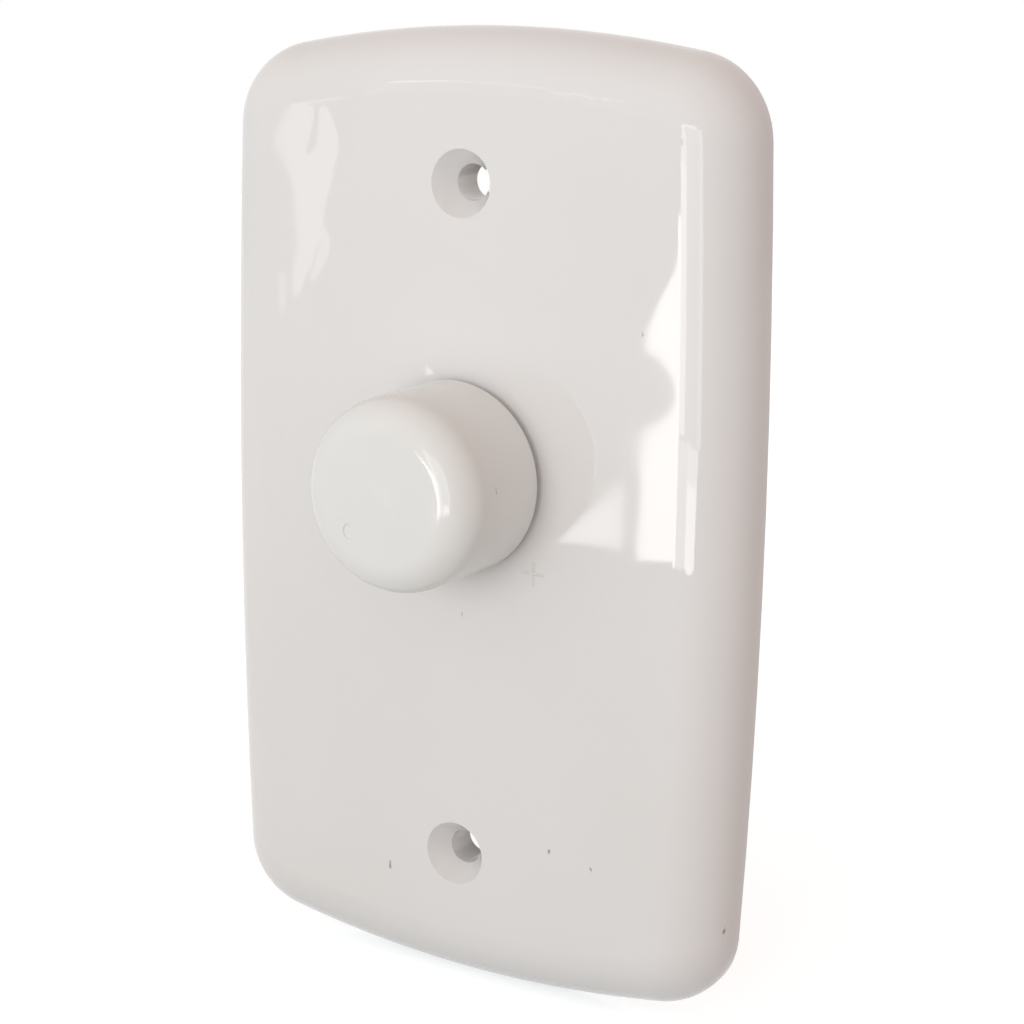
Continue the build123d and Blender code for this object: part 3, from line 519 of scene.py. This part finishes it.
def solder_cone(mesh, centre, front):
    """A small hollow-sided cone of solder, standing on the board's front round a lead."""
    sides = 20
    rings = []
    for radius, height in SOLDER_SIDE:
        ring = []
        for step in range(sides):
            turn = 2 * pi * step / sides
            offset = Vector((radius * cos(turn), 0, radius * sin(turn))) * MM
            ring.append(mesh.verts.new(centre + offset + Vector((0, front - height * MM, 0))))
        rings.append(ring)
    join_rings(mesh, rings, smooth=True)


def solder_joints(material):
    """Solder round every lead on the board's front."""
    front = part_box("circuit_board")[0].y
    mesh = bmesh.new()
    for node in nodes:
        if node.endswith(("_leads", "_legs")) or node == "terminal_cages":
            for centre in lead_ends(node, front):
                solder_cone(mesh, centre, front)
    bmesh.ops.remove_doubles(mesh, verts=mesh.verts, dist=0.001 * MM)
    add_mesh_piece("solder_joints", mesh, material)


def dished_bar(mesh, centre, width, height, face):
    """A bar of filling in an engraved line, its front a little hollow and just under the face."""
    # How far in from the line's edges, and how far under the face
    profile = ((0.005, 0.2), (0.005, 0.01), (0.08, 0.05), (0.15, 0.06))
    rings = []
    for inset, depth in profile:
        half_width, half_height = width / 2 - inset, height / 2 - inset
        ring = []
        for across, up in ((-1, -1), (1, -1), (1, 1), (-1, 1)):
            place = (centre[0] + across * half_width, face + depth, centre[1] + up * half_height)
            ring.append(mesh.verts.new(Vector(place) * MM))
        rings.append(ring)
    mesh.faces.new(rings[0])
    mesh.faces.new(rings[-1])
    join_rings(mesh, rings, smooth=False)


def filled_marks(material):
    """Pale filling in the plus and minus signs, so that they stay as faint as moulded ones. Its finish is
    a white a little darker than the plate's, as painted shade standing in for the shade in the engraved
    grooves.
    """
    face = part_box("front_plate")[0].y / MM
    offset = MARK_OFFSET * sin(radians(45))
    stub = (MARK_LENGTH - MARK_LINE) / 2
    height = knob_axis.z / MM - offset
    mesh = bmesh.new()
    for side in (-offset, offset):
        dished_bar(mesh, (side, height), MARK_LENGTH, MARK_LINE, face)
    for up in (-1, 1):
        dished_bar(mesh, (offset, height + up * (MARK_LINE + stub) / 2), MARK_LINE, stub, face)
    add_mesh_piece("mark_filling_painted_shade", mesh, material)


# Setting


def camera():
    """The photograph's point of view."""
    back = direction(-CAMERA_AZIMUTH, CAMERA_ELEVATION)
    level = Vector((cos(radians(CAMERA_AZIMUTH)), sin(radians(CAMERA_AZIMUTH)), 0))
    upright = back.cross(level)
    roll = radians(CAMERA_ROLL)
    right = level * cos(roll) + upright * sin(roll)
    up = upright * cos(roll) - level * sin(roll)
    data = bpy.data.cameras.new("camera")
    data.sensor_width = 36
    data.lens = CAMERA_LENS
    data.clip_start = 0.01
    view = bpy.data.objects.new("camera", data)
    turn = Matrix((right, up, back)).transposed().to_4x4()
    view.matrix_world = Matrix.Translation(CAMERA_AIM + back * CAMERA_DISTANCE) @ turn
    bpy.context.scene.collection.objects.link(view)
    bpy.context.scene.camera = view


def panel(name, to_left, above, width, height, strength):
    """A lamp that fills this many degrees of the view from the switch. strength 1 is white."""
    towards = direction(to_left, above)
    wide = 2 * LAMP_DISTANCE * tan(radians(width / 2))
    tall = 2 * LAMP_DISTANCE * tan(radians(height / 2))
    data = bpy.data.lights.new(name, "AREA")
    data.shape = "RECTANGLE"
    data.size, data.size_y = wide, tall
    data.energy = strength * pi * wide * tall
    lamp = bpy.data.objects.new(name, data)
    lamp.rotation_mode = "QUATERNION"
    lamp.rotation_quaternion = (-towards).to_track_quat("-Z", "Y")
    lamp.location = LAMP_AIM + towards * LAMP_DISTANCE
    bpy.context.scene.collection.objects.link(lamp)
    lamp.visible_camera = False
    lamp.visible_glossy = False


def lamps():
    """Two wide soft lamps, one ahead and one behind, which the glossy plate doesn't mirror."""
    panel("front_lamp", to_left=0.0, above=8.0, width=25.0, height=25.0, strength=4.0)
    panel("rear_lamp", to_left=180.0, above=20.0, width=40.0, height=40.0, strength=2.4)


def glow(name, strength):
    """A plain white glow, which no lamp sampling looks for."""
    material = bpy.data.materials.new(name)
    material.cycles.emission_sampling = "NONE"
    tree = ShaderTree(material)
    light = tree.add("ShaderNodeEmission")
    tree.feed(light.inputs["Strength"], strength)
    tree.result(light)
    return material


def arc(centre, radii, start, end):
    """Points on an oval, from one angle to another in degrees, where 0 is left and 90 is up."""
    turns = [radians(start + (end - start) * step / CURVE_STEPS) for step in range(CURVE_STEPS + 1)]
    return tuple((centre[0] + radii[0] * cos(turn), centre[1] + radii[1] * sin(turn)) for turn in turns)


def curve_through(corners):
    """A smooth closed outline through these corners."""
    here = [Vector(corner) for corner in corners]
    before, after = here[-1:] + here[:-1], here[1:] + here[:1]
    # A curve's handles are a sixth of the way from the corner before to the one after
    slopes = [(last - first) / 6 for first, last in zip(before, after)]
    outline = []
    for start, end, slope, next_slope in zip(here, after, slopes, slopes[1:] + slopes[:1]):
        outline += interpolate_bezier(start, start + slope, end - next_slope, end, CURVE_STEPS)[:-1]
    return outline


# Bright shapes of the window that the glossy plate mirrors. Each has a strength, where 1 is white, and
# its corners, as degrees to the left of straight ahead and above level. A round thing stands before
# the left pane.
WINDOW_BITE = arc((26.45, -9.68), (0.9, 1.08), 270, 90)
WINDOW_SHAPES = {
    "pane_left": (
        8.2,
        ((16.0, -4.2), (16.0, -14.95), (26.45, -14.75), *WINDOW_BITE)
        + ((26.4, -8.0), (25.85, -6.3), (25.5, -4.6)),
    ),
    "curtain_gap": (5.6, ((27.05, -14.5), (28.8, -14.35), (27.05, -12.2))),
    "pane_edge": (5.6, ((10.3, -10.8), (16.0, -10.8), (16.0, -2.5), (10.3, -2.5))),
    "pane_edge_top": (4.6, ((10.3, -2.5), (16.0, -2.5), (14.5, 5.0), (11.5, 10.5), (10.0, 8.0))),
    "frame_low": (3.9, ((3.5, -14.9), (16.0, -14.9), (16.0, -10.9), (3.5, -10.9))),
    "pane_right_low": (7.0, ((-13.0, -14.95), (3.5, -14.95), (3.5, -11.9), (-14.0, -11.9))),
    "pane_right_edge": (4.7, ((-14.0, -11.9), (3.5, -11.9), (3.5, -10.8), (-15.0, -10.8))),
    "pane_middle": (2.5, ((-11.0, -10.8), (10.2, -10.8), (10.0, 8.0), (-10.0, 12.0))),
    "pane_right": (3.4, ((-18.5, -10.8), (-11.1, -10.8), (-10.1, 12.0), (-16.0, 14.0))),
    "pane_top": (4.3, ((-10.0, 12.1), (10.0, 8.1), (11.4, 10.6), (-10.0, 15.0))),
    "side_rod": (1.8, ((35.0, -1.1), (35.3, -1.1), (35.3, 13.9), (35.0, 13.9))),
    "top_strip_left": (3.4, ((33.8, 14.2), (36.2, 13.6), (36.2, 16.2), (33.8, 16.6))),
    "top_strip_right": (2.3, ((27.8, 15.4), (33.7, 15.0), (33.7, 16.4), (27.8, 17.2))),
    "glint": (5.0, ((32.5, -9.3), (32.85, -9.35), (32.78, -9.0))),
}

# The same for the soft folds of a curtain at the side, whose outlines run smoothly through their corners
CURVED_SHAPES = {
    "side_cup": (
        2.9,
        ((37.05, -2.5), (36.8, -1.62), (36.3, -1.78), (36.2, -2.1), (36.3, -3.1), (36.1, -3.05))
        + ((36.05, -2.1), (35.9, -1.78), (35.7, -1.95), (35.45, -3.0), (35.95, -4.3))
        + ((36.15, -5.5), (36.65, -7.15), (36.6, -5.5), (36.5, -4.0), (37.0, -2.95)),
    ),
    "side_fold": (2.6, ((36.1, -5.0), (35.88, -5.5), (35.98, -6.2), (36.33, -6.6), (36.15, -5.6))),
    "side_tail": (2.2, ((36.95, -6.4), (36.8, -6.7), (36.95, -7.75), (37.02, -7.3))),
    "side_sweep": (2.3, ((36.8, -1.6), (36.2, -1.42), (35.0, -1.2), (35.0, -1.4), (36.2, -1.72))),
}


def window():
    """The window's and the curtain's bright shapes, which show in mirror images alone."""
    shapes = dict(WINDOW_SHAPES)
    for name, (strength, corners) in CURVED_SHAPES.items():
        shapes[name] = (strength, curve_through(corners))
    for name, (strength, outline) in shapes.items():
        places = []
        for to_left, above in outline:
            towards = direction(to_left, above)
            places.append(LAMP_AIM + towards * (WINDOW_DISTANCE / -towards.y))
        data = bpy.data.meshes.new(name)
        data.from_pydata(places, [], [tuple(range(len(places)))])
        data.materials.append(glow(name, strength))
        shape = bpy.data.objects.new(name, data)
        for kind in ("camera", "diffuse", "transmission", "volume_scatter", "shadow"):
            setattr(shape, "visible_" + kind, False)
        bpy.context.scene.collection.objects.link(shape)


def seen(tree):
    """1 for rays from the camera, from a mirror-like surface or through glass."""
    path = tree.add("ShaderNodeLightPath")
    total = path.outputs["Is Camera Ray"]
    for kind in ("Is Glossy Ray", "Is Transmission Ray"):
        total = tree.math("MAXIMUM", total, path.outputs[kind])
    return total


def world():
    """White where it is seen directly, mirrored or through glass, and the room's soft light elsewhere."""
    sky = bpy.data.worlds.new("room")
    bpy.context.scene.world = sky
    tree = ShaderTree(sky)
    axes = tree.add("ShaderNodeSeparateXYZ")
    tree.feed(axes.inputs[0], tree.add("ShaderNodeTexCoord").outputs["Generated"])
    total = ROOM_LIGHT
    for axis, growth in zip("XYZ", (ROOM_RIGHT, ROOM_BACK, ROOM_UP)):
        step = tree.add("ShaderNodeVectorMath", operation="MULTIPLY_ADD")
        for socket, value in zip(step.inputs, (axes.outputs[axis], growth, total)):
            tree.feed(socket, value)
        total = step.outputs[0]
    light = tree.add("ShaderNodeBackground")
    tree.feed(light.inputs["Color"], tree.blend(seen(tree), total, (1.0, 1.0, 1.0)))
    tree.result(light, "ShaderNodeOutputWorld")


def floor_material():
    """Pale matt floor that shows white where it is lit, and still takes the object's shadow."""
    material = bpy.data.materials.new("floor")
    tree = ShaderTree(material)
    matt = tree.add("ShaderNodeBsdfDiffuse")
    tree.feed(matt.inputs["Color"], FLOOR_COLOUR)
    light = tree.add("ShaderNodeEmission")
    tree.feed(light.inputs["Strength"], tree.math("MULTIPLY", seen(tree), FLOOR_GLOW))
    both = tree.add("ShaderNodeAddShader")
    tree.feed(both.inputs[0], matt.outputs[0])
    tree.feed(both.inputs[1], light.outputs[0])
    tree.result(both)
    return material


def floor():
    height = cad_box[0].z
    corners = [
        (-FLOOR_HALF_WIDTH, FLOOR_FRONT, height),
        (FLOOR_HALF_WIDTH, FLOOR_FRONT, height),
        (FLOOR_HALF_WIDTH, FLOOR_BACK, height),
        (-FLOOR_HALF_WIDTH, FLOOR_BACK, height),
    ]
    data = bpy.data.meshes.new("floor")
    data.from_pydata(corners, [], [(0, 1, 2, 3)])
    data.materials.append(floor_material())
    ground = bpy.data.objects.new("floor", data)
    bpy.context.scene.collection.objects.link(ground)


def plain_colours():
    """Plain colour output, with no film look."""
    bpy.context.scene.view_settings.view_transform = "Standard"


camera()
finishes = dress_nodes()
wind_choke(finishes["copper_wire"])
solder_joints(finishes["tinned_wire"])
# The signs' filling gets a slightly darker white, as painted shade of the engraved grooves
filled_marks(white_plastic("mark_filling_painted_shade", MARK_PAINTED_SHADE, PLATE_GLOSS))
world()
lamps()
window()
floor()
plain_colours()
